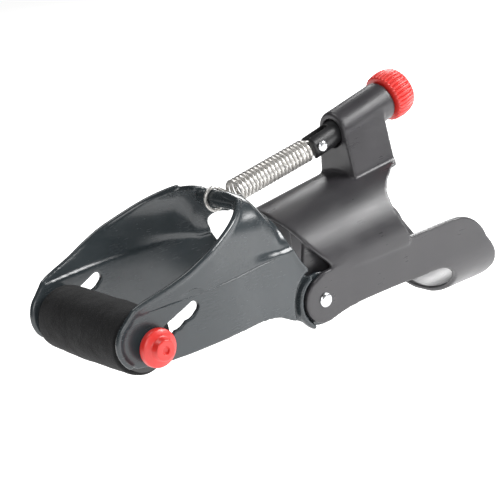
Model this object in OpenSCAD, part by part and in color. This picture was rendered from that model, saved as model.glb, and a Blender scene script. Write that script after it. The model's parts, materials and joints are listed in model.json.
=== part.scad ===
// Spring-loaded wrist and forearm exerciser.
// +X runs back towards the elbow, -X towards the hand, +Z is up.
// The origin is the middle of the flat land under the cuff.

/* [Forearm frame] */
// Half the width over the two side arms
arm_half = 41; // [40:0.5:43]
// Thickness of the side arms and of the cuff
arm_wall = 3.6; // [3:0.2:4]
// Radius of the round end of each arm, at the pivot
arm_end_r = 14; // [13:0.5:14.5]
// Height of an arm's top edge above the pivot
arm_top = 17; // [16:0.5:19]
// Depth of the cuff's bottom below the pivot
cuff_depth = 38.2; // [36:0.1:42]
// Front end of the cuff's bottom, behind the pivot
cuff_front = 111; // [102:1:113]
// Rear end of the cuff's bottom, behind the pivot
cuff_rear = 141; // [136:1:145]
// Outer radius of the saddle above the pivot
saddle_r = 40.6; // [39.5:0.1:41]
// Wall of the saddle
saddle_wall = 3.2; // [2.6:0.2:3.6]
// Slope of the saddle's axis, in degrees
saddle_tilt = 5.3; // [4:0.1:7]

/* [Tension tower] */
// Front face of the tower, behind the pivot
tower_x = 55; // [52:0.5:58]
// Height of the screw axis at the front face, above the pivot
tower_z = 82.6; // [80:0.1:84]
// Slope of the screw axis, in degrees
tower_tilt = 13.2; // [11:0.1:15]
// Length of the tube that carries the screw
tube_l = 44; // [42:1:46]
// Outer radius of the tube
tube_r = 12.4; // [12:0.1:13]
// Radius of the bore that the clevis nut slides in
tube_bore_r = 8.75; // [8.5:0.05:9]

/* [Hand yoke] */
// Wall of the yoke
yoke_wall = 3; // [2.6:0.1:3.2]
// Radius of the yoke's ears at the pivot
ear_r = 16.3; // [16:0.1:17]
// Grip axis in front of the pivot
grip_x = 127.2; // [124:0.2:130]
// Grip axis above the pivot
grip_z = 18.3; // [17:0.1:20]
// Travel of the grip along its slots
slot_travel = 32; // [24:1:32]
// Slope of the slots, in degrees
slot_tilt = 23; // [21:0.5:25]
// Number of rests along each slot
slot_rests = 5; // [3:1:5]
// Crossbar in front of the pivot
bar_x = 34; // [33:0.5:35]
// Crossbar above the pivot
bar_z = 67; // [66:0.5:68]
// Radius of the crossbar
bar_r = 5; // [4.5:0.1:5]

/* [Spring] */
// Outer diameter of the spring
spring_d = 14.6; // [14:0.1:15.6]
// Wire diameter
wire_d = 2.1; // [1.8:0.1:2.4]
// Number of coils between the hooks
coils = 20; // [16:1:22]

/* [Grip and knobs] */
// Radius of the foam sleeve
foam_r = 19.5; // [17:0.5:20]
// Half the length of the foam sleeve
foam_half = 40.8; // [40:0.1:41.4]
// Radius of the grip rod
rod_r = 3.2; // [3:0.1:4]
// Radius of the end knobs' flange
flange_r = 11; // [10:0.5:11.5]
// Radius of the tension knob
knob_r = 16; // [14:0.5:17]
// Ribs round the tension knob
knob_ribs = 34; // [24:1:40]

/* [Hidden] */

$fn = 64;
eps = 0.01;
rest_x = (cuff_front + cuff_rear) / 2;   // middle of the flat land, behind the pivot
gap = 0.06;                              // running clearance on a radius
pin_gap = 0.1;                           // end play beside a washer

// Pivot stack, as distances from the middle plane
skirt_in = 28.5;
skirt_out = 31.5;
ear_in = 32.6;
ear_out = 36.2;
arm_in = arm_half - arm_wall;
rivet_r = 3;

// Grip stack, as distances from the middle plane
knob_in = 53;
flange_t = 5.2;
hub_out = 63;

// Screw axis, measured from the tower's front face
screw_tip = 8;
shoulder = 33;
knob_s = 45.4;
knob_l = 16;
pin_s = -15;
fork_s = pin_s - 4.8;                    // front end of the clevis fork

// Spring line, from the crossbar to the clevis pin
pin_pos = [tower_x + pin_s * cos(tower_tilt), tower_z + pin_s * sin(tower_tilt)];
spring_vec = [pin_pos[0] + bar_x, pin_pos[1] - bar_z];
spring_len = norm(spring_vec);
spring_tilt = atan2(spring_vec[1], spring_vec[0]);
coil_r = (spring_d - wire_d) / 2;
wire_r = wire_d / 2;
coil_start = 10.5;
coil_end = spring_len - 7.2;
front_hook_r = bar_r + wire_r + 0.2;
rear_hook_r = 4;

function arc(c, r, a0, a1, n) = [for (i = [0 : n]) let (a = a0 + (a1 - a0) * i / n)
    [c[0] + r * cos(a), c[1] + r * sin(a)]];

// Value of a table of [x, value] at x, joined by straight lines
function at(table, x) = lookup(x, table);

// ---- placing ----
module from_pivot() { translate([-rest_x, 0, cuff_depth]) children(); }
module both_sides() { children(); mirror([0, 1, 0]) children(); }
// A side view, drawn in X and Z, made solid from y0 to y1
module side_solid(y0, y1) { translate([0, y1, 0]) rotate([90, 0, 0]) linear_extrude(y1 - y0) children(); }
// A front view, drawn in Y and Z, made solid from x0 to x1
module front_solid(x0, x1) { translate([x0, 0, 0]) rotate([90, 0, 90]) linear_extrude(x1 - x0) children(); }
// A round bar across the device
module cross_cyl(y0, y1, r, x = 0, z = 0) {
    translate([x, y1, z]) rotate([90, 0, 0]) cylinder(h = y1 - y0, r = r);
}
// The screw's own frame: its X axis is the screw axis, with 0 at the tower's front face
module on_screw() { translate([tower_x, 0, tower_z]) rotate([0, -tower_tilt, 0]) children(); }
module screw_cyl(s0, s1, r) { translate([s0, 0, 0]) rotate([0, 90, 0]) cylinder(h = s1 - s0, r = r); }
// The spring's own frame: its X axis runs from the crossbar to the clevis pin
module on_spring() { translate([-bar_x, 0, bar_z]) rotate([0, -spring_tilt, 0]) children(); }
module on_grip() { translate([-grip_x, 0, grip_z]) children(); }

// ---- forearm frame ----
notch_r = 20;
corner_r = 27;
module arm_and_cuff_profile() {
    circle(arm_end_r);
    polygon(concat(
        [[-6, -12.6], [0, -arm_end_r], [6, -13.2], [12, -12], [24, -10.2], [40, -9.8], [60, -9.9]],
        arc([cuff_front - notch_r, -31], notch_r, 90, 0, 10),
        [[cuff_front, -cuff_depth], [cuff_rear, -cuff_depth], [cuff_rear + 3.4, -31], [cuff_rear + 3.8, -24],
         [cuff_rear + 0.5, -13]],
        arc([cuff_rear - 32, arm_top - corner_r], corner_r, 15, 90, 10),
        [[8, arm_top], [-4, 13.4]]));
}
cuff_side = 6;      // the cuff's sides are upright down to this depth
module cuff_section(inset) {
    a = arm_half - inset;
    b = cuff_depth + 0.3 - cuff_side - inset;
    polygon(concat([for (i = [0 : 24]) [a * cos(180 + 7.5 * i), -cuff_side + b * sin(180 + 7.5 * i)]],
                   [[a, arm_top + 1], [-a, arm_top + 1]]));
}
module saddle_profile() {
    polygon([[9.4, 13], [9.4, 18.6], [3.6, 25], [-0.7, 31], [-3.6, 37], [-5.6, 42.6], [-8, 49], [-9.5, 60],
             [90, 80], [89.6, 63], [87.5, 58.5], [80, 55], [71.5, 50.5], [66, 44.5], [65, 37], [66.5, 28], [70.5, 19],
             [69, 13]]);
}
saddle_axis_z = 11.5;
saddle_flare = 0.0267;
module saddle_cone(inset) {
    translate([0, 0, saddle_axis_z]) rotate([0, 90 - saddle_tilt, 0]) translate([0, 0, -30])
        cylinder(h = 130, r1 = saddle_r - 30 * saddle_flare - inset, r2 = saddle_r + 100 * saddle_flare - inset,
                 $fn = 128);
}
module tower_section() {
    circle(tube_r);
    polygon([[-tube_r, 0], [tube_r, 0], [17.5, -34], [-17.5, -34]]);
}
tower_rear = 88;
module tower() {
    intersection() {
        on_screw() front_solid(-20, 50) tower_section();
        translate([tower_x, -30, 40]) cube([tower_rear - tower_x, 60, 80]);
    }
    on_screw() screw_cyl(20, tube_l, tube_r);
}
module tower_core() {
    intersection() {
        on_screw() front_solid(-20, 50) polygon([[-9, -15.8], [9, -15.8], [13.5, -44], [-13.5, -44]]);
        translate([tower_x + 3.5, -30, 30]) cube([tower_rear - tower_x - 7, 60, 80]);
    }
}
module skirt() {
    side_solid(skirt_in, skirt_out) {
        circle(12);
        polygon([[-9, 8], [-2, 36.5], [34, 36.5], [34, -11], [0, -12]]);
    }
    translate([19.5, skirt_in, -9]) cube([14.5, arm_in - skirt_in + 0.5, 24]);
}
module forearm_frame() {
    color([0.12, 0.13, 0.14]) from_pivot() difference() {
        union() {
            // flat arms, and the cuff that joins them under the forearm
            both_sides() intersection() {
                side_solid(arm_in, arm_half) arm_and_cuff_profile();
                translate([-20, 0, -arm_end_r - 1]) cube([98, 60, 60]);
            }
            intersection() {
                side_solid(-arm_half - 1, arm_half + 1) arm_and_cuff_profile();
                front_solid(60, cuff_rear + 10) difference() { cuff_section(0); cuff_section(arm_wall); }
            }
            difference() {
                union() {
                    intersection() { saddle_cone(0); side_solid(-60, 60) saddle_profile(); }
                    tower();
                }
                saddle_cone(saddle_wall);
                tower_core();
            }
            both_sides() skirt();
        }
        on_screw() screw_cyl(-20, shoulder, tube_bore_r);
        on_screw() screw_cyl(shoulder - 1, tube_l + 5, 3.2);
        cross_cyl(-60, 60, rivet_r);
    }
}

// ---- hand yoke ----
// Half-width of the side plates, and of the hood above them, along X
plate_w = [[-150, 45.5], [-140, 47], [-126, 48.8], [-112, 50.2], [-98, 51.1], [-84, 51], [-70, 49.9],
           [-58, 47.8], [-48, 45.6], [-38, 43.6], [-30, 42.1], [-22, 41], [-13, 40.6]];
hood_w = [[-150, 46], [-140, 48], [-126, 50.8], [-112, 53.2], [-98, 54.8], [-84, 54.2], [-70, 51],
          [-58, 48], [-48, 45.4], [-38, 43.2], [-30, 41.7], [-22, 40.5], [-13, 39.9]];
hood_z = [[-150, 46], [-98, 51], [-70, 48], [-48, 44], [-38, 42], [-30, 40], [-22, 38.5], [-13, 38]];
crown_z = [[-150, 92], [-98, 86], [-70, 81], [-48, 75.4], [-38, 74], [-30, 66.5], [-22, 57.5], [-13, 53.5]];
roundness = [[-150, 3.6], [-48, 3.6], [-38, 3.4], [-30, 2.6], [-22, 2], [-13, 2]];
yoke_x = [-150, -138, -120, -98, -80, -64, -48, -38, -28, -13];
crease_z = 37;
base_z = -12;
// Half a section of the plate, and of the hood that flares out above the crease, inset by the wall
function plate_half(x, t, drop) = let (pw = at(plate_w, x) - t)
    [[pw, base_z - drop], [pw, crease_z + 0.6]];
function hood_half(x, t, drop) = let (
        pw = at(plate_w, x) - t, hw = at(hood_w, x) - t, hz = at(hood_z, x), cz = at(crown_z, x) - t,
        n = at(roundness, x))
    concat([[pw - 0.6, crease_z - 2]],
           [for (i = [0 : 6]) let (a = 90 * i / 6)
               [hw * pow(cos(a), 2 / n), hz + (cz - hz) * pow(sin(a), 2 / n)]]);
// The hull of the sections that half(x, t, grow) gives, over the length of the yoke
module section_hull(half, t, grow) {
    pts = [for (x = yoke_x) let (e = x == yoke_x[0] ? -grow : x == yoke_x[len(yoke_x) - 1] ? grow : 0)
               for (p = half(x, t, grow)) each [[x + e, p[0], p[1]], [x + e, -p[0], p[1]]]];
    hull() polyhedron(points = pts, faces = [for (i = [0 : len(pts) - 3]) [i, i + 1, i + 2]]);
}
// The space inside a wall of thickness t
module yoke_space(t, grow) {
    section_hull(function(x, t, g) plate_half(x, t, g), t, grow);
    section_hull(function(x, t, g) hood_half(x, t, g), t, grow);
}
module yoke_profile() {
    polygon(concat(
        arc([-grip_x - 3, grip_z + 3], 15, 245, 120, 10),
        [[-127, 41.3], [-112, 45.6], [-98.5, 51.3], [-88.9, 55.3], [-77.2, 59.6], [-66.7, 63.6], [-57.4, 67.4],
         [-49, 70.6], [-41.3, 73], [-38, 80], [-24, 80], [-17.4, 62], [-20.4, 57], [-22, 51], [-21.8, 45],
         [-19, 36.7], [-14.6, 28], [-19.5, 20], [-21, 8], [-22, -5], [-27, -4], [-38, 2.2], [-52, 4.4], [-67, 5],
         [-88, 5], [-112, 5.2]]));
}
module ear_profile() {
    circle(ear_r);
    polygon([[-1, ear_r], [-9, 20], [-14.6, 28], [-19, 36.7], [-30, 34], [-33, 2], [-26, -4.3], [-17.6, -8.4],
             [-11, -12]]);
}
module slot_shape() {
    dx = slot_travel * cos(slot_tilt);
    dz = slot_travel * sin(slot_tilt);
    half_w = rod_r + 0.2;
    circle(half_w);
    translate([dx, dz]) circle(half_w);
    rotate(slot_tilt) translate([0, -half_w]) square([slot_travel, 2 * half_w]);
    for (i = [0 : slot_rests - 1]) translate([dx, dz] * i / (slot_rests - 1))
        rotate(slot_tilt - 90) translate([1, 0]) circle(half_w - 0.6);
}
module neck() {
    difference() {
        side_solid(ear_in, arm_half - 1.6) ear_profile();
        cross_cyl(ear_out, 60, arm_end_r + 1.2);
        side_solid(ear_out, 60) polygon([[-6, 0], [-16, 5], [-14, 40], [40, 40], [40, -40], [-16, -40], [-12, -9]]);
    }
}
bar_half = 17;      // half the length of the crossbar, ends in the crown
open_half = 13;     // half the width of the opening in the crown
module hand_yoke() {
    color([0.13, 0.14, 0.15]) from_pivot() difference() {
        union() {
            intersection() {
                difference() { yoke_space(0, 0); yoke_space(yoke_wall, 2); }
                side_solid(-70, 70) yoke_profile();
            }
            both_sides() neck();
            cross_cyl(-bar_half, bar_half, bar_r, -bar_x, bar_z);
        }
        // the opening in the crown, in front of and behind the crossbar
        difference() {
            translate([-60, -open_half, 45]) cube([36.5, 2 * open_half, 50]);
            cross_cyl(-bar_half, bar_half, bar_r, -bar_x, bar_z);
        }
        on_grip() side_solid(-70, 70) slot_shape();
        cross_cyl(-60, 60, rivet_r + gap);
    }
}

// ---- pivots ----
module ring(y0, y1, r_out, r_in) {
    difference() { cross_cyl(y0, y1, r_out); cross_cyl(y0 - 1, y1 + 1, r_in); }
}
module pivot_rivets() {
    color([0.78, 0.79, 0.8]) from_pivot() both_sides() {
        cross_cyl(skirt_in - 1.8, arm_half + eps, rivet_r);
        cross_cyl(skirt_in - 2.4, skirt_in - 0.9, 4.4);
        translate([0, arm_half, 0]) rotate([-90, 0, 0]) {
            cylinder(h = 0.7, r = 4.4);
            translate([0, 0, 0.7]) cylinder(h = 0.9, r1 = 4.4, r2 = 2.6);
        }
    }
}
module rivet_backing_washers() {
    color([0.7, 0.71, 0.72]) from_pivot() both_sides() ring(skirt_in - 0.9, skirt_in, 6, rivet_r);
}
module ear_washers() {
    color([0.85, 0.85, 0.82]) from_pivot() both_sides() {
        ring(ear_out + pin_gap, arm_in, 8, rivet_r);
        ring(skirt_out, ear_in - pin_gap, 8, rivet_r);
    }
}

// ---- grip ----
module grip_rod() {
    color([0.75, 0.76, 0.77]) from_pivot() on_grip() cross_cyl(-61, 61, rod_r);
}
module grip_end_washers() {
    color([0.1, 0.1, 0.1]) from_pivot() on_grip() both_sides() {
        ring(foam_half + 0.2, foam_half + 2.4, 16, rod_r);
        ring(foam_half + 2.3, foam_half + 3.4, 8, rod_r);
    }
}
module clamp_washers() {
    color([0.1, 0.1, 0.1]) from_pivot() on_grip() both_sides() ring(knob_in - 1.1, knob_in - 0.1, 8.5, rod_r);
}
module grip_core() {
    color([0.2, 0.2, 0.2]) from_pivot() on_grip() ring(-foam_half, foam_half, 8, rod_r + gap);
}
module foam_sleeve() {
    color([0.06, 0.06, 0.06]) from_pivot() on_grip() ring(-foam_half, foam_half, foam_r, 8);
}
module grip_knob() {
    difference() {
        union() {
            cross_cyl(knob_in, knob_in + flange_t, flange_r);
            cross_cyl(knob_in, hub_out, 6.1);
        }
        cross_cyl(knob_in - 1, 61.1, 5.2);
        cross_cyl(60, hub_out + 1, 2);
    }
}
module knob_insert() { ring(knob_in + 0.1, 60.5, 5.2, rod_r + gap); }
module grip_knob_left() { color([0.85, 0.1, 0.12]) from_pivot() on_grip() grip_knob(); }
module grip_knob_right() { color([0.85, 0.1, 0.12]) from_pivot() on_grip() mirror([0, 1, 0]) grip_knob(); }
module knob_insert_left() { color([0.8, 0.65, 0.3]) from_pivot() on_grip() knob_insert(); }
module knob_insert_right() { color([0.8, 0.65, 0.3]) from_pivot() on_grip() mirror([0, 1, 0]) knob_insert(); }

// ---- clevis, screw and knob ----
slot_half = 2.6;
nut_r = 7.6;
nut_back = 22;
clevis_pin_r = 2.4;
module clevis_nut() {
    color([0.08, 0.08, 0.09]) from_pivot() on_screw() difference() {
        union() {
            screw_cyl(fork_s, nut_back, nut_r);
            screw_cyl(3, nut_back, tube_bore_r - gap);
        }
        translate([pin_s - 7, -slot_half, -20]) cube([-pin_s + 4, 2 * slot_half, 40]);
        cross_cyl(-20, 20, clevis_pin_r, pin_s, 0);
        screw_cyl(-4, nut_back + 1, 3 + gap);
    }
}
module clevis_pin() {
    color([0.8, 0.81, 0.82]) from_pivot() on_screw() {
        cross_cyl(-7.9, 9.4, clevis_pin_r, pin_s, 0);
        cross_cyl(-9, -7.8, 3.5, pin_s, 0);
    }
}
module pin_clip() {
    color([0.6, 0.6, 0.62]) from_pivot() on_screw() translate([pin_s, 0, 0]) ring(7.8, 8.8, 4.2, clevis_pin_r);
}
head_s = knob_s + 6.6;
module tension_screw() {
    color([0.7, 0.71, 0.72]) from_pivot() on_screw() {
        screw_cyl(screw_tip, head_s + 1, 3);
        translate([head_s, 0, 0]) rotate([0, 90, 0]) cylinder(h = 4, r = 5.77, $fn = 6);
    }
}
module tension_knob() {
    color([0.85, 0.1, 0.12]) from_pivot() on_screw() difference() {
        union() {
            screw_cyl(knob_s, knob_s + 1.5, knob_r - 1);
            screw_cyl(knob_s + 1, knob_s + knob_l, knob_r);
        }
        for (i = [0 : knob_ribs - 1]) rotate([360 * i / knob_ribs, 0, 0]) translate([0, knob_r + 0.1, 0])
            screw_cyl(knob_s - 1, knob_s + knob_l + 1, 0.8);
        screw_cyl(knob_s - 1, head_s + 1, 3.05);
        translate([head_s, 0, 0]) rotate([0, 90, 0]) cylinder(h = 10, r = 5.8, $fn = 6);
        screw_cyl(knob_s + knob_l - 1.6, knob_s + knob_l + 1, 12);
    }
}
module knob_cap() {
    color([0.15, 0.05, 0.05]) from_pivot() on_screw() screw_cyl(knob_s + knob_l - 1.6, knob_s + knob_l + 0.2, 12);
}
module thrust_washer() {
    color([0.75, 0.76, 0.77]) from_pivot() on_screw() difference() {
        screw_cyl(tube_l + 0.1, knob_s - 0.1, 9.5);
        screw_cyl(tube_l - 1, knob_s + 1, 3 + gap);
    }
}

// ---- spring: one wire, in three pieces so that it can reach ----
module wire_ring(r, angle) { rotate([90, 0, 0]) rotate_extrude(angle = angle) translate([r, 0]) circle(wire_r, $fn = 24); }
module spring_hook_rear() {
    color([0.82, 0.83, 0.84]) from_pivot() on_spring() {
        translate([spring_len - (rear_hook_r - wire_r - clevis_pin_r - 0.1), 0, 0]) wire_ring(rear_hook_r, 360);
        translate([coil_end, 0, 0]) screw_cyl(-1, spring_len - coil_end - rear_hook_r, wire_r);
    }
}
module spring_hook_front() {
    color([0.82, 0.83, 0.84]) from_pivot() on_spring() {
        // the hook lies in the plane of the coil's side, and runs straight down into its first turn
        translate([0, coil_r, 0]) {
            rotate([0, -60, 0]) wire_ring(front_hook_r, 230);
            run = [coil_start - front_hook_r * cos(60), -front_hook_r * sin(60)];
            translate([front_hook_r * cos(60), 0, front_hook_r * sin(60)])
                rotate([0, -atan2(run[1], run[0]), 0]) screw_cyl(-0.4, norm(run) - 2, wire_r);
        }
    }
}
steps = 10;         // stations along each coil
sides = 6;          // corners round the wire
module spring_coil() {
    n = coils * steps;
    pitch = (coil_end - coil_start) / coils;
    lean = atan(pitch / (2 * PI * coil_r));
    pts = [for (i = [0 : n]) let (a = 360 * i / steps, x = coil_start + pitch * i / steps)
               for (j = [0 : sides - 1]) let (b = 360 * j / sides, u = wire_r * cos(b), v = wire_r * sin(b))
                   [x + v * cos(lean),
                    (coil_r + u) * cos(a) + v * sin(lean) * sin(a),
                    (coil_r + u) * sin(a) - v * sin(lean) * cos(a)]];
    skin = [for (i = [0 : n - 1]) for (j = [0 : sides - 1])
                let (a = i * sides + j, b = i * sides + (j + 1) % sides)
                each [[a, b, b + sides], [a, b + sides, a + sides]]];
    color([0.82, 0.83, 0.84]) from_pivot() on_spring()
        polyhedron(points = pts, faces = concat(skin,
            [[for (j = [sides - 1 : -1 : 0]) j]], [[for (j = [0 : sides - 1]) n * sides + j]]));
}

forearm_frame();
pivot_rivets();
rivet_backing_washers();
ear_washers();
hand_yoke();
grip_rod();
grip_end_washers();
clamp_washers();
grip_core();
foam_sleeve();
grip_knob_left();
knob_insert_left();
grip_knob_right();
knob_insert_right();
clevis_nut();
clevis_pin();
pin_clip();
tension_screw();
tension_knob();
knob_cap();
thrust_washer();
spring_hook_rear();
spring_coil();
spring_hook_front();
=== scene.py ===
import json
import math

import bmesh
import bpy
import numpy as np
from mathutils import Matrix, Vector, noise


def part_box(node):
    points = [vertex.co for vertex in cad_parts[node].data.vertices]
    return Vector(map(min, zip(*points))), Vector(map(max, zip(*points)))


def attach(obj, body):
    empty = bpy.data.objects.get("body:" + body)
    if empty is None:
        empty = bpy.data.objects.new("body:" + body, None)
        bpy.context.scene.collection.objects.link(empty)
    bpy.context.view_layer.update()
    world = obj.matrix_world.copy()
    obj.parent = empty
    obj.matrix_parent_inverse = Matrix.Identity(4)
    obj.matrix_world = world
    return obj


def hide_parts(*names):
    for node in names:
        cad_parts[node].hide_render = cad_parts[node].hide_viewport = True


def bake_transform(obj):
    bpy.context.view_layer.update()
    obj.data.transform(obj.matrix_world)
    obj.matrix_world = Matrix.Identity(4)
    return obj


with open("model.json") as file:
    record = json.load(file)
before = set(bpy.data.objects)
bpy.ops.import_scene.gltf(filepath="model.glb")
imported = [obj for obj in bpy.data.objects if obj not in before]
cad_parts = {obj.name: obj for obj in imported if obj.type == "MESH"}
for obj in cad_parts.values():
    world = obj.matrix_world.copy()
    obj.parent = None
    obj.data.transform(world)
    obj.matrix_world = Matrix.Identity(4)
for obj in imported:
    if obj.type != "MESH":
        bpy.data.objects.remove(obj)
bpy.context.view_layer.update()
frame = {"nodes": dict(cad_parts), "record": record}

# ---- places taken from the frame ----
# Lengths in this script are millimetres, in the pivot frame: the origin is the middle of the pivot axis,
# +X runs back towards the elbow, +Y is the left side and +Z is up. MM turns them into metres.
MM = 0.001
JOINTS = {j["name"]: j for j in frame["record"]["behaviour"]["joints"]}
PIVOT = Vector(JOINTS["yoke_hinge"]["pos_m"])


def from_frame(point):
    """A point of the frame, in metres, as millimetres in the pivot frame."""
    return (Vector(point) - PIVOT) / MM


def node_box(name):
    """Two corners of a node's box, in the pivot frame."""
    low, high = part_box(name)
    return from_frame(low), from_frame(high)


GRIP = from_frame(JOINTS["sleeve_spin"]["pos_m"])
PIN = from_frame(JOINTS["spring_swing"]["pos_m"])
SCREW = from_frame(JOINTS["tension_spin"]["pos_m"])          # on the screw axis, at the tower's front face
SCREW_DIR = -Vector(JOINTS["tension_spin"]["axis"]).normalized()
SPRING_DIR = -Vector(JOINTS["spring_stretch"]["axis"]).normalized()
SLOT_DIR = Vector(JOINTS["grip_slide"]["axis"]).normalized()
SLOT_TRAVEL = JOINTS["grip_slide"]["range_m"][1] / MM
ACROSS = Vector((0, 1, 0))
UP = Vector((0, 0, 1))


# ---- outlines ----
def arc(cx, cz, r, a0, a1, n=12):
    """Points of a round stretch, angles in degrees."""
    angles = [math.radians(a0 + (a1 - a0) * i / n) for i in range(n + 1)]
    return [(cx + r * math.cos(a), cz + r * math.sin(a)) for a in angles]


def curve(points, steps=6):
    """A smooth open curve through the points (Catmull-Rom), with steps pieces between neighbours."""
    p = [np.array(q, float) for q in points]
    p = [2 * p[0] - p[1]] + p + [2 * p[-1] - p[-2]]
    out = []
    for i in range(1, len(p) - 2):
        a, b, c, d = p[i - 1:i + 3]
        for k in range(steps):
            t = k / steps
            out.append(0.5 * (2 * b + (c - a) * t + (2 * a - 5 * b + 4 * c - d) * t ** 2
                              + (3 * b - a - 3 * c + d) * t ** 3))
    out.append(p[-2])
    return [tuple(q) for q in out]


def table(pairs):
    """A smooth function through (x, value) pairs."""
    line = np.array(curve(pairs, 10))
    return lambda x: np.interp(x, line[:, 0], line[:, 1])


def smooth_step(a, b, x):
    """0 before a, 1 beyond b and a smooth rise between; a may be the larger one."""
    t = np.clip((x - a) / (b - a), 0, 1)
    return t * t * (3 - 2 * t)


# ---- meshes ----
def mesh_object(name, points, faces):
    """An object from points in the pivot frame."""
    mesh = bpy.data.meshes.new(name)
    mesh.from_pydata([PIVOT + Vector(p) * MM for p in points], [], faces)
    mesh.validate()
    work = bmesh.new()
    work.from_mesh(mesh)
    bmesh.ops.recalc_face_normals(work, faces=work.faces)
    work.to_mesh(mesh)
    work.free()
    mesh.shade_smooth()
    obj = bpy.data.objects.new(name, mesh)
    bpy.context.scene.collection.objects.link(obj)
    return obj


def grid_faces(rows, columns, around=False):
    """Faces of a grid of rows x columns points; around joins the last column to the first."""
    last = columns if around else columns - 1
    return [(i * columns + j, i * columns + (j + 1) % columns,
             (i + 1) * columns + (j + 1) % columns, (i + 1) * columns + j)
            for i in range(rows - 1) for j in range(last)]


def ends(rows, columns):
    """The two faces that close a grid whose columns go all the way round."""
    last = (rows - 1) * columns
    return [tuple(range(columns)), tuple(range(last + columns - 1, last - 1, -1))]


def extrude(name, *rings):
    """A solid with flat ends through rings of as many points each."""
    count = len(rings[0])
    points = [point for ring in rings for point in ring]
    return mesh_object(name, points, grid_faces(len(rings), count, around=True) + ends(len(rings), count))


def prism(name, outline, y0, y1):
    """A side view outline made solid from y0 to y1."""
    return extrude(name, *[[(x, y, z) for x, z in outline] for y in (y0, y1)])


def mirrored(half):
    """A whole section, given its left half as (y, z) points that end in the middle plane."""
    return half + [(-y, z) for y, z in reversed(half[:-1])]


def skin(name, sections):
    """An open surface through sections of as many points each."""
    points = [point for section in sections for point in section]
    return mesh_object(name, points, grid_faces(len(sections), len(sections[0])))


def axes_of(direction):
    """Two directions square to the given one."""
    d = Vector(direction).normalized()
    side = d.cross(UP if abs(d.z) < 0.9 else ACROSS).normalized()
    return side, d.cross(side)


def revolve(name, profile, origin, direction, segments=96, radius_at=None):
    """A turned solid: the profile is (distance along the axis, radius) from end to end.
    radius_at(angle, distance, radius) may change the radius round the axis."""
    d = Vector(direction).normalized()
    u, v = axes_of(d)
    points = []
    for s, r in profile:
        for k in range(segments):
            a = 2 * math.pi * k / segments
            radius = radius_at(a, s, r) if radius_at else r
            points.append(Vector(origin) + d * s + (u * math.cos(a) + v * math.sin(a)) * radius)
    faces = grid_faces(len(profile), segments, around=True)
    closed = (Vector(profile[0]) - Vector(profile[-1])).length < 1e-6
    if closed:
        count = (len(profile) - 1) * segments
        points = points[:count]
        faces = [tuple(i % count for i in f) for f in faces]
    else:
        faces += ends(len(profile), segments)
    return mesh_object(name, points, faces)


def rod(name, a, b, radius, segments=64):
    """A plain cutter or filler between two points, never shown on its own."""
    a, b = Vector(a), Vector(b)
    return revolve(name, [(0, radius), ((b - a).length, radius)], a, b - a, segments)


def tube(name, path, radius, sides=14):
    """A round wire along a path of points. The radius may be a list."""
    path = [Vector(p) for p in path]
    n = len(path)
    radii = radius if isinstance(radius, (list, tuple)) else [radius] * n
    tangents = [(path[min(i + 1, n - 1)] - path[max(i - 1, 0)]).normalized() for i in range(n)]
    normal = axes_of(tangents[0])[0]
    points = []
    for p, t, r in zip(path, tangents, radii):
        normal = (normal - t * normal.dot(t)).normalized()
        other = t.cross(normal)
        for k in range(sides):
            a = 2 * math.pi * k / sides
            points.append(p + (normal * math.cos(a) + other * math.sin(a)) * r)
    faces = grid_faces(n, sides, around=True)
    return mesh_object(name, points, faces + ends(n, sides))


def apply_modifiers(obj):
    """Turns what the modifiers make into the object's own mesh."""
    bpy.context.view_layer.update()
    shape = obj.evaluated_get(bpy.context.evaluated_depsgraph_get())
    mesh = bpy.data.meshes.new_from_object(shape)
    obj.modifiers.clear()
    old, obj.data = obj.data, mesh
    bpy.data.meshes.remove(old)
    mesh.shade_smooth()
    return obj


def combine(obj, tools, operation):
    """Boolean with one tool or several; the tools are used up."""
    for tool in tools if isinstance(tools, list) else [tools]:
        modifier = obj.modifiers.new("combine", "BOOLEAN")
        modifier.operation = operation
        modifier.solver = "MANIFOLD"
        modifier.object = tool
        apply_modifiers(obj)
        bpy.data.objects.remove(tool)
    return obj


def thicken(obj, wall):
    """A closed shell of an even wall, inside the open surface."""
    modifier = obj.modifiers.new("wall", "SOLIDIFY")
    modifier.thickness = wall * MM
    modifier.offset = -1
    modifier.use_even_offset = True
    return apply_modifiers(obj)


def join(name, parts):
    """One object of several; the meshes are kept as they are."""
    work = bmesh.new()
    for part in parts:
        work.from_mesh(part.data)
        bpy.data.objects.remove(part)
    mesh = bpy.data.meshes.new(name)
    work.to_mesh(mesh)
    work.free()
    obj = bpy.data.objects.new(name, mesh)
    bpy.context.scene.collection.objects.link(obj)
    return obj


COARSE, FINE = 0.8, 0.55  # voxel sizes of the first and the second moulding pass


def mould(obj, voxel, rounding):
    """Grows overlapping solids into one moulding and rounds its edges."""
    remesh = obj.modifiers.new("one skin", "REMESH")
    remesh.mode = "VOXEL"
    remesh.voxel_size = voxel * MM
    ease = obj.modifiers.new("rounding", "SMOOTH")
    ease.factor = 0.5
    ease.iterations = rounding
    return apply_modifiers(obj)


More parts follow.
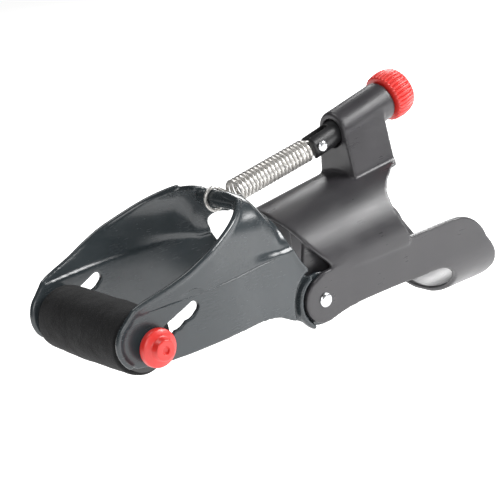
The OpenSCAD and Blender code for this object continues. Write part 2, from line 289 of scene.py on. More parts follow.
# ---- materials ----
class Look:
    """A material's node tree, built a few nodes at a time."""

    def __init__(self, name):
        self.material = bpy.data.materials.new(name)
        self.material.use_nodes = True
        self.tree = self.material.node_tree
        self.shader = self.tree.nodes["Principled BSDF"]
        self.place = self.add("ShaderNodeTexCoord").outputs["Object"]

    def add(self, kind, **settings):
        node = self.tree.nodes.new(kind)
        for key, value in settings.items():
            setattr(node, key, value)
        return node

    def link(self, output, target):
        self.tree.links.new(output, target)

    def set(self, **values):
        for key, value in values.items():
            self.shader.inputs[key.replace("_", " ")].default_value = value

    def noise(self, scale, detail=3.0, stretch=(1, 1, 1), turn=(0, 0, 0)):
        """Noise whose features are about 1/scale metres wide."""
        mapping = self.add("ShaderNodeMapping")
        mapping.inputs["Scale"].default_value = stretch
        mapping.inputs["Rotation"].default_value = turn
        self.link(self.place, mapping.inputs["Vector"])
        texture = self.add("ShaderNodeTexNoise")
        texture.inputs["Scale"].default_value = scale
        texture.inputs["Detail"].default_value = detail
        self.link(mapping.outputs["Vector"], texture.inputs["Vector"])
        return texture.outputs["Fac"]

    def cells(self, scale):
        """Distance from the middles of cells about 1/scale metres wide."""
        texture = self.add("ShaderNodeTexVoronoi")
        texture.inputs["Scale"].default_value = scale
        self.link(self.place, texture.inputs["Vector"])
        return texture.outputs["Distance"]

    def span(self, value, low, high, from_low=0.0, from_high=1.0):
        """The value, mapped onto low..high."""
        node = self.add("ShaderNodeMapRange")
        node.inputs["From Min"].default_value = from_low
        node.inputs["From Max"].default_value = from_high
        node.inputs["To Min"].default_value = low
        node.inputs["To Max"].default_value = high
        self.link(value, node.inputs["Value"])
        return node.outputs["Result"]

    def mix(self, factor, a, b):
        """A colour between a and b; each is a colour or an output."""
        node = self.add("ShaderNodeMix", data_type="RGBA")
        self.link(factor, node.inputs["Factor"])
        for socket, colour in ((node.inputs[6], a), (node.inputs[7], b)):
            if isinstance(colour, tuple):
                socket.default_value = (*colour, 1)
            else:
                self.link(colour, socket)
        return node.outputs[2]

    def total(self, a, b):
        node = self.add("ShaderNodeMath", operation="ADD")
        self.link(a, node.inputs[0])
        self.link(b, node.inputs[1])
        return node.outputs[0]

    def edges(self, low, high):
        """1 on sharp outer edges and 0 elsewhere."""
        return self.span(self.add("ShaderNodeNewGeometry").outputs["Pointiness"], 0, 1, low, high)

    def bump(self, height, strength, distance):
        """distance is the height of the relief in metres."""
        node = self.add("ShaderNodeBump")
        node.inputs["Strength"].default_value = strength
        node.inputs["Distance"].default_value = distance
        self.link(height, node.inputs["Height"])
        self.link(node.outputs["Normal"], self.shader.inputs["Normal"])


def moulded_plastic(name, colour, tint, rough, grain=2200, relief=0.00003, coat=0.0):
    """Injection-moulded plastic: fine texture, faint flow marks, handling marks and paler, worn edges."""
    look = Look(name)
    flow = look.noise(28, 4, stretch=(1, 2.4, 1))
    base = look.mix(look.span(flow, 0, 1, 0.35, 0.65), colour, tint)
    scuffs = look.noise(900, 2, stretch=(0.12, 1, 1), turn=(0.3, 0.9, 0.4))
    worn = tuple(min(1, c * 1.7 + 0.012) for c in colour)
    edge = look.add("ShaderNodeMath", operation="MULTIPLY")
    look.link(look.edges(0.52, 0.62), edge.inputs[0])
    look.link(look.span(look.noise(220, 3), 0.1, 0.8, 0.35, 0.7), edge.inputs[1])
    look.link(look.mix(edge.outputs[0], base, worn), look.shader.inputs["Base Color"])
    patches = look.span(look.noise(45, 5), rough - 0.05, rough + 0.07, 0.3, 0.7)
    marks = look.span(scuffs, -0.03, 0.05, 0.35, 0.75)
    look.link(look.total(patches, marks), look.shader.inputs["Roughness"])
    spark = look.total(look.noise(grain, 2), look.span(look.cells(grain * 0.6), 0, 0.5))
    look.bump(spark, 0.35, relief)
    look.set(Coat_Weight=coat, Coat_Roughness=0.12, IOR=1.6)
    return look.material


def metal(name, colour, rough, stretch, grain=1400, metallic=1.0):
    """Plated or turned metal: fine lines along one direction, cloudy roughness and a slightly dull bloom."""
    look = Look(name)
    lines = look.noise(grain, 3, stretch=stretch)
    cloud = look.noise(160, 4)
    dull = tuple(c * 0.82 for c in colour)
    look.link(look.mix(look.span(cloud, 0, 1, 0.35, 0.75), colour, dull), look.shader.inputs["Base Color"])
    look.link(look.total(look.span(cloud, rough - 0.05, rough + 0.08, 0.3, 0.7),
                         look.span(lines, -0.04, 0.06, 0.3, 0.7)), look.shader.inputs["Roughness"])
    look.bump(lines, 0.3, 0.000012)
    look.set(Metallic=metallic)
    return look.material


def foam_rubber(name):
    """Closed-cell foam: matt black, open pores, small creases and a dusty sheen."""
    look = Look(name)
    dust = look.noise(70, 5)
    look.link(look.mix(look.span(dust, 0, 1, 0.35, 0.75), (0.006, 0.006, 0.0065), (0.012, 0.012, 0.013)),
              look.shader.inputs["Base Color"])
    look.link(look.span(look.noise(400, 3), 0.78, 0.98), look.shader.inputs["Roughness"])
    pores = look.span(look.cells(1500), 0, 1, 0, 0.5)
    big = look.span(look.cells(520), 0, 0.7, 0, 0.35)
    look.bump(look.total(pores, big), 0.7, 0.00022)
    look.set(Sheen_Weight=0.06, Sheen_Roughness=0.5, IOR=1.35)
    return look.material


def nylon(name):
    """Natural nylon: off-white, slightly waxy."""
    look = Look(name)
    look.link(look.mix(look.noise(120, 3), (0.72, 0.72, 0.67), (0.82, 0.82, 0.78)),
              look.shader.inputs["Base Color"])
    look.link(look.span(look.noise(500, 2), 0.38, 0.55), look.shader.inputs["Roughness"])
    look.bump(look.noise(1800, 2), 0.3, 0.00002)
    return look.material


CHARCOAL = (0.031, 0.038, 0.042)
FINISH = {
    "frame_plastic": moulded_plastic("frame_plastic", (0.037, 0.036, 0.039), (0.044, 0.042, 0.046), 0.33),
    "yoke_plastic": moulded_plastic("yoke_plastic", CHARCOAL, (0.035, 0.043, 0.048), 0.23),
    "black_plastic": moulded_plastic("black_plastic", (0.014, 0.014, 0.015), (0.019, 0.019, 0.02), 0.34),
    "red_plastic": moulded_plastic("red_plastic", (0.74, 0.028, 0.020), (0.68, 0.022, 0.016), 0.38, 1500,
                                   0.00002, coat=0.25),
    "foam": foam_rubber("foam"),
    "plated_steel": metal("plated_steel", (0.80, 0.81, 0.83), 0.24, (1, 0.15, 1)),
    "spring_steel": metal("spring_steel", (0.72, 0.70, 0.67), 0.25, (1, 1, 1), 500, metallic=0.6),
    "nylon": nylon("nylon"),
    "brass": metal("brass", (0.78, 0.60, 0.30), 0.28, (1, 0.2, 1)),
}


def finish(obj, slot, body, *nodes):
    """Gives a new piece the material of its slot and, if a body is named, its body, and hides the nodes that
    it stands for.
    """
    obj.data.materials.clear()
    obj.data.materials.append(FINISH[slot])
    if body:
        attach(obj, body)
    if nodes:
        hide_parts(*nodes)
    return obj


# ---- hand yoke ----
PLATE_W = table([(-150, 45.5), (-140, 47), (-126, 48.8), (-112, 50.2), (-98, 51.1), (-84, 51), (-70, 49.9),
                 (-58, 47.8), (-48, 45.6), (-38, 43.6), (-30, 42.1), (-22, 41), (-13, 40.4), (20, 40.2)])
HOOD_W = table([(-150, 46), (-140, 48), (-126, 50.8), (-112, 53.2), (-98, 54.8), (-84, 54.2), (-70, 51),
                (-58, 48), (-48, 45.4), (-38, 43.2), (-30, 41.7), (-22, 40.5), (-13, 39.9), (20, 39.7)])
HOOD_Z = table([(-150, 46), (-98, 51), (-70, 48), (-48, 44), (-38, 42), (-30, 40), (-22, 38.5), (20, 38)])
CROWN_Z = table([(-150, 92), (-98, 86), (-70, 81), (-52, 77), (-41, 75.5), (-35, 73.6), (-30, 67.5),
                 (-26, 62), (-20, 57.5), (-13, 54), (20, 52)])
ROUNDNESS = table([(-150, 3.6), (-48, 3.6), (-38, 3.3), (-30, 2.7), (-22, 2.1), (20, 2)])
EAR_Y = 36.2           # outer face of the ears
EAR_R = 16.3
YOKE_WALL = 3.1
YOKE_SPAN = 70         # past the yoke on either side, for cutters
CREASE_Z = 37          # where the hood meets the plates
CREASE_STEP = 0.7      # the hood stands this far proud of the plate along the crease
CREASE_R = 0.5
LOWEST_Z = -22
SLOT_HALF = 3.4
SLOT_RESTS = 4
REST_DEPTH = 0.8
SEAT_Y = 51.4          # the clamp washers slide just outside this
SEAT_R = 10.6
BAR = (-34.0, 67.0)    # crossbar, in X and Z
BAR_R = 4.9
OPEN_HALF = 13         # opening in the crown, in front of and behind the crossbar
OPEN_REAR = -23.6
NOTCH_HALF = 8.8       # room for the spring behind the opening
VALLEY_DEPTH = 0.8     # groove in the plates round each pivot
PLATE_SWELL = 1.2      # the plates stand out by this much more at the pivot end
RIVET_R = 3.0
RUNNING_BORE_R = 3.06  # round the rivets and the screw
DISC_R = 14.0          # round end of the frame's arms

FRONT_RIM = [(-133.5, 39.5), (-127, 42.0), (-112, 46.3), (-98.5, 51.3), (-88.9, 55.3), (-77.2, 59.6),
             (-66.7, 63.6), (-57.4, 67.3), (-49, 70.6), (-42.5, 73.2)]
REAR_EDGE = [(-20, 60), (-21.6, 56), (-22.4, 50), (-21.8, 44), (-19, 36.7), (-14.6, 28), (-9, 20)]
LOWER_EDGE = [(-17.6, -8.4), (-21, -6.4), (-26, -4.0), (-32, -0.6), (-38, 2.2), (-50, 4.3), (-67, 5.0),
              (-88, 5.1), (-112, 5.3), (-122, 6.4)]
PLATE_END = arc(GRIP.x - 3, GRIP.z + 3, 15.2, 245, 128, 16)


def yoke_half_width(x, z):
    """Half the width over the plates, dished round the pivot so that the arm's round end sits in a pocket."""
    beyond = np.hypot(x, z) - DISC_R
    ahead = smooth_step(4, -12, x)
    rise = smooth_step(6.0, 10.6, beyond) * ahead
    valley = VALLEY_DEPTH * smooth_step(7.5, 5.5, beyond) * ahead
    plate = PLATE_W(x) + PLATE_SWELL * smooth_step(-60, -26, x)
    return EAR_Y + (plate - EAR_Y) * rise - valley


def yoke_section(x):
    """Half a section of the outer skin, from the bottom of the plate to the crown."""
    low = [(float(yoke_half_width(x, z)), z) for z in np.linspace(LOWEST_Z, CREASE_Z, 60)]
    half, base, top, power = HOOD_W(x), HOOD_Z(x), CROWN_Z(x), ROUNDNESS(x)
    step = CREASE_STEP * float(smooth_step(-24, -34, x) * smooth_step(-146, -132, x))
    bend = [(low[-1][0] + step, CREASE_Z + 0.5)]
    for a in np.linspace(0, math.pi / 2, 40):
        bend.append((half * math.cos(a) ** (2 / power), base + (top - base) * math.sin(a) ** (2 / power)))
    return low + bend


def yoke_skin():
    """The outer skin of the yoke, from one plate over the crown to the other."""
    sections = [[(x, y, z) for y, z in mirrored(yoke_section(x))] for x in np.linspace(-150, 18, 190)]
    return skin("yoke_shell", sections)


def yoke_outline():
    """The yoke from the side."""
    ear = arc(0, 0, EAR_R, 116, -116, 40)
    return (PLATE_END + curve(FRONT_RIM, 4) + [(-39, 84), (-24, 84)] + curve(REAR_EDGE, 4) + ear
            + curve(LOWER_EDGE, 4))


def skin_path(outline, depth):
    """An outline in X and Z laid on the yoke's skin, on the left side and sunk into it by depth."""
    path = []
    for x, z in outline:
        base, top, power = HOOD_Z(x), CROWN_Z(x), ROUNDNESS(x)
        if z < CREASE_Z:
            y = float(yoke_half_width(x, z))
        elif z < base:
            y = float(np.interp(z, [CREASE_Z, base], [yoke_half_width(x, CREASE_Z), HOOD_W(x)]))
        else:
            y = float(HOOD_W(x) * max(0.0, 1 - ((z - base) / (top - base)) ** power) ** (1 / power))
        path.append((x, y - depth, z))
    return path


def both_sides(name, path, radius, sides):
    """A wire on the left side and its mirror image on the right."""
    return [tube(name, [(x, side * y, z) for x, y, z in path], radius, sides) for side in (-1, 1)]


def creases():
    """The fine raised line where the hood meets each plate, tapered at its ends."""
    path = skin_path([(x, CREASE_Z - 0.1) for x in np.linspace(-126, -30, 60)], -0.45)
    path = [(x, min(y, SEAT_Y - 0.3), z) for x, y, z in path]
    taper = 8
    radii = [CREASE_R * min(1.0, (i + 1) / taper, (len(path) - i) / taper) for i in range(len(path))]
    return both_sides("crease", path, radii, 10)


def along_slot(radius, steps):
    """The outline of everything within radius of the grip's path."""
    end = GRIP + SLOT_DIR * SLOT_TRAVEL
    lean = math.degrees(math.atan2(SLOT_DIR.z, SLOT_DIR.x))
    return (arc(end.x, end.z, radius, lean - 90, lean + 90, steps)
            + arc(GRIP.x, GRIP.z, radius, lean + 90, lean + 270, steps))


def slot_outline():
    """A slot with scalloped rests along its lower edge."""
    normal = Vector((-SLOT_DIR.z, 0, SLOT_DIR.x))
    outline = along_slot(SLOT_HALF, 12)
    steps = SLOT_RESTS * 12
    for i in range(1, steps):
        t = i / steps
        depth = SLOT_HALF + REST_DEPTH * abs(math.sin(math.pi * t * SLOT_RESTS)) ** 0.8
        p = GRIP + SLOT_DIR * SLOT_TRAVEL * t - normal * depth
        outline.append((p.x, p.z))
    return outline


def crown_cutters():
    """The opening round the crossbar and the notch behind it."""
    opening = arc(-52, 62, 9, 90, 270, 8) + [(-52, 40), (OPEN_REAR, 40), (OPEN_REAR, 90), (-52, 90)]
    notch = [(-26, 50), (-12, 50), (-12, 90), (-26, 90)]
    return [prism("opening", opening, -OPEN_HALF, OPEN_HALF), prism("notch", notch, -NOTCH_HALF, NOTCH_HALF)]


def yoke_ribs():
    """The rolled rims, the rings round the pivots and the lips behind the hood."""
    rim = skin_path(PLATE_END[2:] + curve(FRONT_RIM, 4), 0.9)
    lip = skin_path(curve(REAR_EDGE, 4)[3:], 1.3)
    ribs = both_sides("bead", rim, 1.95, 12) + both_sides("lip", lip, 1.7, 12)
    for lift in (2.3, 0.6):
        ring = [(x, EAR_Y + lift, z) for x, z in arc(0, 0, EAR_R + 0.5, 112, 240, 40)]
        ribs += both_sides("ring", ring, 1.75, 12)
    return ribs


def hand_yoke():
    """The yoke: plates, hood, crossbar and ears as one moulding."""
    shell = thicken(yoke_skin(), YOKE_WALL)
    combine(shell, prism("outline", yoke_outline(), -YOKE_SPAN, YOKE_SPAN), "INTERSECT")
    combine(shell, crown_cutters(), "DIFFERENCE")
    bar_profile = [(-20, 3), (-18, BAR_R + 0.3), (-15.5, BAR_R), (15.5, BAR_R), (18, BAR_R + 0.3), (20, 3)]
    bar = revolve("bar", bar_profile, (BAR[0], 0, BAR[1]), ACROSS, 48)
    shell = join("yoke_shell", [shell, bar] + yoke_ribs())
    mould(shell, COARSE, 4)
    slots = prism("slots", slot_outline(), -YOKE_SPAN, YOKE_SPAN)
    holes = rod("holes", (0, -YOKE_SPAN, 0), (0, YOKE_SPAN, 0), RUNNING_BORE_R)
    seats = [prism("seat", along_slot(SEAT_R, 20), *reach) for reach in ((-62, -SEAT_Y), (SEAT_Y, 62))]
    combine(shell, [slots, holes] + seats, "DIFFERENCE")
    mould(shell, FINE, 4)
    shell = join("yoke_shell", [shell] + creases())
    shell.data.shade_smooth()
    return finish(shell, "yoke_plastic", "yoke", "hand_yoke")


# ---- forearm frame ----
ARM_HALF = 41.0        # outer face of the arms
ARM_WALL = 3.6
CUFF_BOTTOM = -PIVOT.z / MM
CUFF_FRONT, CUFF_REAR = 111.0, 141.0
FRAME_SPAN = 60        # past the frame on either side, for cutters
SADDLE_Z = 11.5        # height of the saddle's axis at the pivot
SADDLE_R = 40.6
SADDLE_SLOPE = math.tan(math.radians(5.3))
SADDLE_FLARE = 0.0267  # growth of the radius towards the elbow
SADDLE_WALL = 3.2
TOWER_FRONT, TOWER_REAR = SCREW.x, SCREW.x + 33.0
TOWER_WALL = 3.5
TUBE_R, TUBE_L = 12.4, 44.0
BORE_R = 8.75          # the fork slides in it
SCREW_REACH = (-22, 52)  # along the screw, past the tower at both ends
SCREW_HOLE_R = 3.2
SKIRT_IN, SKIRT_OUT = 28.5, 31.5
WEB_OUT = 38.0         # a little inside the arm's wall

ARM_LOWER = [(6, -13.0), (12, -11.6), (24, -10.2), (40, -9.8), (60, -9.9), (78, -10.6), (91, -11.0)]
NOTCH = arc(91, -31, 20, 86, 4, 14)
CUFF_BACK = [(CUFF_REAR + 0.6, CUFF_BOTTOM + 0.2), (144.2, -31), (144.8, -24), (141.6, -13), (135.4, -2.8)]
CORNER = arc(109, -10, 27, 12, 90, 14)
ARM_TOP = [(109, 17), (60, 17), (8, 17), (1, 15.8), (-4, 13.6)]
SADDLE_FRONT = [(9.4, 17), (6.5, 21.6), (3.2, 25.4), (-0.7, 31), (-3.6, 37), (-5.8, 42.8), (-7.8, 48.5),
                (-9.4, 56)]
SADDLE_BACK = [(90.5, 70), (89.6, 63), (87.5, 58.5), (80, 55), (71.5, 50.5), (66, 44.5), (65, 37), (66.5, 28),
               (70.3, 19), (69.6, 13)]


def cuff_section(x):
    """Half a section of the outer skin of an arm and the cuff, from the arm's top down to the middle."""
    upright = float(np.interp(x, [55, 85], [18, 6]))
    depth = -CUFF_BOTTOM + 0.3 - upright
    side = [(ARM_HALF, z) for z in np.linspace(20, -upright, 12, endpoint=False)]
    angles = np.linspace(0, math.pi / 2, 28)
    return side + [(ARM_HALF * math.cos(a), -upright - depth * math.sin(a)) for a in angles]


def arms_and_cuff():
    """The two arms, with the round discs at the pivots, and the cuff that joins them under the forearm."""
    sections = [[(x, y, z) for y, z in mirrored(cuff_section(x))] for x in np.linspace(-18, 148, 84)]
    outline = (arc(0, 0, DISC_R, 106, 290, 40) + curve(ARM_LOWER, 3) + NOTCH + [(CUFF_FRONT, CUFF_BOTTOM)]
               + curve(CUFF_BACK, 4) + CORNER + curve(ARM_TOP, 3))
    shell = thicken(skin("frame_shell", sections), ARM_WALL)
    return combine(shell, prism("outline", outline, -FRAME_SPAN, FRAME_SPAN), "INTERSECT")


def saddle_point(x, angle, inset=0.0):
    """A point of the saddle's outer skin, or of one that lies inset under it."""
    r = SADDLE_R + SADDLE_FLARE * x - inset
    return (x, r * math.sin(angle), SADDLE_Z + SADDLE_SLOPE * x + r * math.cos(angle))


def saddle():
    """The saddle over the forearm, a slightly flared shell."""
    angles = np.linspace(-1.9, 1.9, 97)
    sections = [[saddle_point(x, a) for a in angles] for x in np.linspace(-14, 94, 55)]
    outline = [(9.4, 12.5)] + curve(SADDLE_FRONT, 4) + [(-11, 80), (92, 80)] + curve(SADDLE_BACK, 4)
    shell = thicken(skin("saddle", sections), SADDLE_WALL)
    return combine(shell, prism("outline", outline, -FRAME_SPAN, FRAME_SPAN), "INTERSECT")


def inside_of_saddle():
    """The space under the saddle, as a solid cutter."""
    angles = np.linspace(0, 2 * math.pi, 96, endpoint=False)
    return extrude("inside", *[[saddle_point(x, a, SADDLE_WALL) for a in angles] for x in (-20, 110)])


def on_screw(s, y, t):
    """A point of the screw's own frame: s along the axis, y across, t square to both."""
    normal = Vector((-SCREW_DIR.z, 0, SCREW_DIR.x))
    return SCREW + SCREW_DIR * s + ACROSS * y + normal * t


def tower_half(depth):
    """Half the tower's width, below the screw axis, with a flared foot."""
    return TUBE_R + 5.1 * depth / 34 + 2.2 * max(0.0, (depth - 27) / 9) ** 2


def tower():
    """The tower on the saddle, and the tube that carries the knob behind it."""
    down = [(tower_half(d), -d) for d in np.linspace(0, 42, 22)]
    section = down + [(-y, t) for y, t in reversed(down)] + arc(0, 0, TUBE_R, 180, 0, 32)[1:-1]
    body = extrude("tower", *[[on_screw(s, y, t) for y, t in section] for s in SCREW_REACH])
    front = [(TOWER_FRONT - 1.4, 40), (TOWER_FRONT - 0.2, 50), (TOWER_FRONT, 56), (TOWER_FRONT, 120)]
    back = [(TOWER_REAR, 120), (TOWER_REAR, 60), (TOWER_REAR, 40)]
    combine(body, prism("faces", front + back, -FRAME_SPAN, FRAME_SPAN), "INTERSECT")
    combine(body, inside_of_saddle(), "DIFFERENCE")
    tube_profile = [(18, TUBE_R), (TUBE_L - 0.8, TUBE_R), (TUBE_L, TUBE_R - 0.8)]
    return [body, revolve("tube", tube_profile, SCREW, SCREW_DIR, 96)]


def skirts():
    """The inner ears of the frame, between which the yoke's ears turn."""
    outline = arc(0, 0, 12, 150, 270, 16) + [(34, -11), (34, 36.5), (-2, 36.5), (-9, 8)]
    web = [(19.5, -9), (34, -9), (34, 15), (19.5, 15)]
    parts = []
    for side in (-1, 1):
        parts.append(prism("skirt", outline, *sorted((side * SKIRT_IN, side * SKIRT_OUT))))
        parts.append(prism("web", web, *sorted((side * SKIRT_IN, side * WEB_OUT))))
    return parts


def frame_cutters():
    """The hollow of the tower, the bore for the fork, and the holes for the screw and the rivets."""
    top, bottom = -15.8, -44
    core = [(9, top), (13.5, bottom), (-13.5, bottom), (-9, top)]
    hollow = extrude("hollow", *[[on_screw(s, y, t) for y, t in core] for s in SCREW_REACH])
    front, rear = TOWER_FRONT + TOWER_WALL, TOWER_REAR - TOWER_WALL
    span = prism("span", [(front, 30), (rear, 30), (rear, 110), (front, 110)], -30, 30)
    combine(hollow, span, "INTERSECT")
    return [hollow,
            rod("bore", on_screw(-20, 0, 0), on_screw(33, 0, 0), BORE_R, 96),
            rod("screw_hole", on_screw(32, 0, 0), on_screw(60, 0, 0), SCREW_HOLE_R),
            rod("rivets", (0, -FRAME_SPAN, 0), (0, FRAME_SPAN, 0), RIVET_R)]


def forearm_frame():
    """The frame: arms, cuff, saddle, tower, tube and the ears' skirts as one moulding."""
    shell = join("frame_shell", [arms_and_cuff(), saddle()] + tower() + skirts())
    mould(shell, COARSE, 5)
    combine(shell, frame_cutters(), "DIFFERENCE")
    mould(shell, FINE, 5)
    return finish(shell, "frame_plastic", "frame", "forearm_frame")


# ---- foam grip ----
def foam_grip():
    """The foam sleeve: slightly crowned, soft-edged, dented where fingers press it."""
    low, high = node_box("foam_sleeve")
    half, outer = high.y, (high.z - low.z) / 2
    core_low, core_high = node_box("grip_core")
    core = (core_high.z - core_low.z) / 2
    edge, crown = 2.2, 0.5
    profile = [(-half, core), (-half, core + 3), (-half + 0.15, outer - edge - 1.2)]
    for a in np.linspace(0, math.pi / 2, 10):
        profile.append((-half + edge - edge * math.cos(a), outer - crown - edge + edge * math.sin(a)))
    profile += [(s, outer - crown * (s / half) ** 2) for s in np.linspace(-half + edge + 1, 0, 40)]
    profile += [(-s, r) for s, r in reversed(profile[:-1])]
    profile.append(profile[0])
    foam = revolve("foam_grip", profile, (GRIP.x, 0, GRIP.z), ACROSS, 144)
    centre = PIVOT + GRIP * MM
    dents_per_metre, pits_per_metre = 55, 420
    for vertex in foam.data.vertices:
        arm = Vector((vertex.co.x - centre.x, 0, vertex.co.z - centre.z))
        if arm.length > (core + 1) * MM:
            dent = noise.fractal(vertex.co * dents_per_metre, 1.0, 2.0, 3) * 0.5 - 0.25
            fine = noise.noise(vertex.co * pits_per_metre) * 0.07
            vertex.co += arm.normalized() * min(0.0, dent + fine) * MM
    return finish(foam, "foam", "sleeve", "foam_sleeve")


# ---- knobs ----
TIP_R = 0.3            # a turned profile ends here, next to the axis


def rounded(points, radius, steps=5):
    """A profile of (s, r) points whose inner corners are rounded."""
    out = [points[0]]
    for before, corner, after in zip(points, points[1:], points[2:]):
        c = Vector(corner)
        a, b = Vector(before) - c, Vector(after) - c
        cut = min(radius, a.length * 0.45, b.length * 0.45)
        p, q = c + a.normalized() * cut, c + b.normalized() * cut
        for k in range(steps + 1):
            t = k / steps
            out.append(tuple(p * (1 - t) ** 2 + c * 2 * t * (1 - t) + q * t ** 2))
    return out + [points[-1]]


def end_knob(name, side, node):
    """A flanged thumb nut with a hollow hub."""
    low, high = node_box(node)
    inner, outer = sorted((abs(low.y), abs(high.y)))
    flange = (high.z - low.z) / 2
    length = outer - inner
    insert_r, insert_end, hole_end, hole_r = 5.2, 8.1, 8.5, 2.0
    points = [(insert_end, insert_r), (0.0, insert_r), (0.0, flange - 0.4), (1.2, flange),
              (4.2, flange - 0.2), (5.3, 8.6), (5.9, 6.6), (length, 5.9), (length, hole_r + 0.1),
              (hole_end, hole_r), (hole_end, TIP_R)]
    profile = [(insert_end, TIP_R)] + rounded(points, 0.9)
    knob = revolve(name, profile, (GRIP.x, side * inner, GRIP.z), ACROSS * side, 96)
    return finish(knob, "red_plastic", "end_knob_left" if side > 0 else "end_knob_right", node)


def tension_knob():
    """The red tension knob: ribs that run over a bulging side, and a closed, slightly domed back."""
    start = TUBE_L + 0.8
    ribs, rib_depth = 34, 1.5
    profile = [(1.0, 6.0), (0.5, 6.6), (0.0, 8.0), (0.0, 13.6), (0.3, 14.3)]
    profile += [(0.9 + 13.4 * t, 14.9 + 1.0 * math.sin(math.pi * (0.06 + 0.62 * t)) - 1.9 * t ** 3)
                for t in np.linspace(0, 1, 22)]
    profile += [(15.0, 13.1), (15.6, 12.2), (15.9, 11.4), (15.85, 10.6), (15.7, 10.1), (16.0, 9.2),
                (16.3, 6.0), (16.5, 3.0), (16.55, 0.6)]

    def ribbed(angle, s, r):
        window = smooth_step(0.2, 1.4, s) * smooth_step(15.1, 14.0, s)
        wave = 0.5 - 0.5 * math.cos(angle * ribs)
        return r - rib_depth * window * wave ** 2.6

    knob = revolve("tension_knob_shell", profile, SCREW + SCREW_DIR * start, SCREW_DIR, ribs * 10, ribbed)
    return finish(knob, "red_plastic", "tension_knob", "tension_knob", "knob_cap")


# ---- pivots, fork and pin ----
PIN_R = 2.4
SLOT_IN_FORK = 2.6     # half the width of the slot that takes the spring's rear hook


def rivets():
    """Domed rivets, one each side, upset over a washer inside."""
    profile = [(26.1, TIP_R), (26.3, 3.4), (27.0, 4.3), (27.6, 4.4), (27.65, RIVET_R), (40.9, RIVET_R),
               (41.02, 4.4), (41.5, 4.4), (42.0, 3.9), (42.4, 2.9), (42.6, 1.5), (42.65, TIP_R)]
    parts = [revolve("rivet", rounded(profile, 0.25, 3), (0, 0, 0), ACROSS * side, 64) for side in (-1, 1)]
    return finish(join("pivot_rivet_pair", parts), "plated_steel", "frame", "pivot_rivets")


def clevis_fork():
    """The black fork that slides in the tower and carries the pin."""
    pin_s = (PIN - SCREW).dot(SCREW_DIR)
    front, back = pin_s - 4.8, 22.0
    slide_r = BORE_R - 0.06
    profile = [(front, TIP_R), (front, 6.6), (front + 1.0, 7.6), (3.0, 7.6), (3.6, slide_r),
               (back - 0.6, slide_r), (back, 8.2), (back, TIP_R)]
    fork = revolve("clevis_fork", profile, SCREW, SCREW_DIR, 96)
    section = ((SLOT_IN_FORK, -14), (SLOT_IN_FORK, 14), (-SLOT_IN_FORK, 14), (-SLOT_IN_FORK, -14))
    slot = extrude("gap", *[[on_screw(s, y, t) for y, t in section] for s in (front - 3, -3)])
    pin = rod("pin_hole", PIN - ACROSS * 20, PIN + ACROSS * 20, PIN_R, 48)
    screw = rod("screw_hole", on_screw(-4, 0, 0), on_screw(back + 2, 0, 0), RUNNING_BORE_R, 48)
    combine(fork, [slot, pin, screw], "DIFFERENCE")
    mould(fork, 0.28, 3)
    return finish(fork, "black_plastic", "clevis", "clevis_nut")


def clevis_pin():
    """A domed pin across the fork."""
    profile = [(-9.5, TIP_R), (-9.45, 1.6), (-9.1, 2.8), (-8.5, 3.5), (-7.9, 3.5), (-7.8, PIN_R),
               (9.0, PIN_R), (9.4, 2.0), (9.4, TIP_R)]
    pin = revolve("clevis_pin_turned", rounded(profile, 0.3, 3), PIN, ACROSS, 64)
    return finish(pin, "plated_steel", "clevis", "clevis_pin")


# ---- spring ----
WIRE_R = 1.05
COILS = 20
COIL_R = 6.25
BAR_POINT = Vector((BAR[0], 0, BAR[1]))
SPRING_LENGTH = (PIN - BAR_POINT).length
COIL_START, COIL_END = 10.5, SPRING_LENGTH - 7.2
STRETCH_SHARE = 0.75      # the share of the coil, from the rear, that the yoke stretches
SPRING_UP = Vector((-SPRING_DIR.z, 0, SPRING_DIR.x))


def spring_point(s, y, t):
    """A point of the spring's own frame: s from the crossbar to the pin."""
    return BAR_POINT + SPRING_DIR * s + ACROSS * y + SPRING_UP * t


def coil_path(s0, s1):
    """The middle of the wire from s0 to s1."""
    turns = abs(s1 - s0) / (COIL_END - COIL_START) * COILS
    n = round(turns * 32)
    path = []
    for i in range(n + 1):
        s = s0 + (s1 - s0) * i / n
        a = 2 * math.pi * COILS * (s - COIL_START) / (COIL_END - COIL_START)
        path.append(spring_point(s, COIL_R * math.cos(a), COIL_R * math.sin(a)))
    return path


def even_stretch(name, s0, s1, count):
    """The coil from s0 to s1 as count separate pieces of wire, each baked in place."""
    for k in range(count):
        near, far = s0 + (s1 - s0) * k / count, s0 + (s1 - s0) * (k + 1) / count
        piece = tube(f"{name}_{k + 1}", coil_path(near, far), WIRE_R)
        finish(piece, "spring_steel", None)
        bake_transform(piece)
        if k == 0:
            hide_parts("spring_coil")


def rear_hook():
    """From the last turn of the coil to a loop round the pin."""
    loop_r = PIN_R + WIRE_R + 0.12
    last = 2 * math.pi * COILS
    lead = []
    for t in np.linspace(0, 1, 12):
        a = last + t * 1.5
        lead.append(spring_point(COIL_END + 1.3 * t, COIL_R * math.cos(a) * (1 - 0.45 * t),
                                 COIL_R * math.sin(a) * (1 - 0.3 * t)))
    into = lead + [spring_point(COIL_END + 2.4, 0.4, 4.1)]
    loop = [spring_point(SPRING_LENGTH + loop_r * math.cos(a), 0, loop_r * math.sin(a))
            for a in np.linspace(math.radians(125), math.radians(-165), 40)]
    hook = tube("spring_rear_hook", curve(into, 3) + loop, WIRE_R)
    finish(hook, "spring_steel", "spring_rear", "spring_hook_rear")


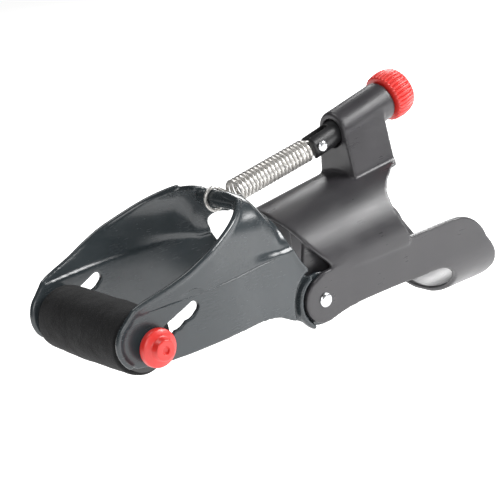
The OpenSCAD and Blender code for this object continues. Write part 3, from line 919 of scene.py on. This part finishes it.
def front_hook():
    """Down the coil's side, over the crossbar, round its front and under it."""
    hook_r = BAR_R + WIRE_R + 0.3
    slack = 1.4           # room under the crossbar for the hook's small swing
    lead = []
    for t in np.linspace(0, 0.55, 6):
        a = -1.2 * t
        lead.append(spring_point(COIL_START - t, COIL_R * math.cos(a), COIL_R * math.sin(a) * (1 - t)))
    first = spring_point(hook_r * 0.5, COIL_R, hook_r * 0.87)
    run = [lead[-1].lerp(first, t) for t in np.linspace(0.3, 0.85, 3)]
    loop = []
    for a in np.linspace(math.radians(62), math.radians(292), 40):
        height = hook_r + (slack if math.sin(a) < 0 else 0)
        loop.append(spring_point(hook_r * math.cos(a), COIL_R, height * math.sin(a)))
    hook = tube("spring_front_hook", curve(lead + run + loop, 3), WIRE_R)
    finish(hook, "spring_steel", "spring_front", "spring_hook_front")


def spring():
    """The coil, which stretches along its length, and its two hooks."""
    share = COIL_END - STRETCH_SHARE * (COIL_END - COIL_START)
    even_stretch("spring_coil_rear", COIL_END, share, 4)
    even_stretch("spring_coil_front", share, COIL_START, 2)
    rear_hook()
    front_hook()


# ---- the CAD parts that stay ----
def dress_cad_parts():
    """Every CAD node that is still shown gets the material of its slot."""
    slots = {part["node"]: part["material_slot"] for part in frame["record"]["subparts"]}
    for name, obj in frame["nodes"].items():
        if obj.hide_render:
            continue
        obj.data.materials.clear()
        obj.data.materials.append(FINISH[slots[name]])


# ---- studio ----
def area_light(name, place, target, size, power):
    """A square or oblong lamp at place that shines at target."""
    light = bpy.data.lights.new(name, "AREA")
    light.shape = "RECTANGLE"
    light.size, light.size_y = size
    light.energy = power
    obj = bpy.data.objects.new(name, light)
    bpy.context.scene.collection.objects.link(obj)
    obj.location = place
    obj.rotation_euler = (Vector(target) - Vector(place)).to_track_quat("-Z", "Y").to_euler()


def floor():
    """A pale floor, low enough that the raised yoke doesn't dip into it."""
    half, z = 14.0, -0.036
    mesh = bpy.data.meshes.new("floor")
    corners = [(-half, -half, z), (half, -half, z), (half, half, z), (-half, half, z)]
    mesh.from_pydata(corners, [], [(0, 1, 2, 3)])
    obj = bpy.data.objects.new("floor", mesh)
    bpy.context.scene.collection.objects.link(obj)
    look = Look("floor")
    look.link(look.mix(look.noise(3, 2), (0.90, 0.90, 0.90), (0.93, 0.93, 0.93)),
              look.shader.inputs["Base Color"])
    look.link(look.span(look.noise(40, 3), 0.6, 0.75), look.shader.inputs["Roughness"])
    look.set(Emission_Color=(1, 1, 1, 1), Emission_Strength=0.8)
    mesh.materials.append(look.material)


def room():
    """A room that is dark to everything but the camera, which sees a pale backdrop."""
    dark, pale = 0.06, 0.92
    world = bpy.data.worlds.new("studio")
    bpy.context.scene.world = world
    world.use_nodes = True
    tree = world.node_tree
    background = tree.nodes["Background"]
    background.inputs["Color"].default_value = (1, 1, 1, 1)
    ray = tree.nodes.new("ShaderNodeLightPath")
    level = tree.nodes.new("ShaderNodeMath")
    level.operation = "MULTIPLY_ADD"
    level.inputs[1].default_value = pale - dark
    level.inputs[2].default_value = dark
    tree.links.new(ray.outputs["Is Camera Ray"], level.inputs[0])
    tree.links.new(level.outputs[0], background.inputs["Strength"])


def studio():
    """The room, four lamps and the floor."""
    bpy.context.scene.view_settings.view_transform = "Standard"
    room()
    middle = PIVOT + Vector((0, 0, 0.03))
    area_light("key", middle + Vector((-0.8, -1.3, 0.6)), middle, (0.8, 0.8), 8)
    area_light("stripe", middle + Vector((1.05, -0.72, 0.85)), middle, (0.8, 0.7), 26)
    area_light("top", middle + Vector((-0.3, 0.5, 1.5)), middle, (0.7, 0.7), 7)
    area_light("back", middle + Vector((1.1, 1.0, 0.7)), middle, (0.6, 0.6), 8)
    floor()


def camera():
    """The camera stands a metre off the pivot, beside the hand end and above it, and leans 9 degrees."""
    back = Vector((-0.557, -0.766, 0.321)).normalized()
    right = UP.cross(back).normalized()
    up = back.cross(right)
    roll = math.radians(9)
    u = right * math.cos(roll) - up * math.sin(roll)
    v = right * math.sin(roll) + up * math.cos(roll)
    place = PIVOT + back
    target = PIVOT + (u * -19.6 + v * 23.3) * MM
    z = (place - target).normalized()
    x = (u - z * u.dot(z)).normalized()
    y = z.cross(x)
    data = bpy.data.cameras.new("camera")
    data.sensor_width = 36
    data.lens = 118.8
    data.clip_end = 100
    obj = bpy.data.objects.new("camera", data)
    obj.matrix_world = Matrix.Translation(place) @ Matrix((x, y, z)).transposed().to_4x4()
    bpy.context.scene.collection.objects.link(obj)
    bpy.context.scene.camera = obj


hand_yoke()
forearm_frame()
foam_grip()
end_knob("end_knob_near", -1, "grip_knob_right")
end_knob("end_knob_far", 1, "grip_knob_left")
tension_knob()
rivets()
clevis_fork()
clevis_pin()
spring()
dress_cad_parts()
studio()
camera()
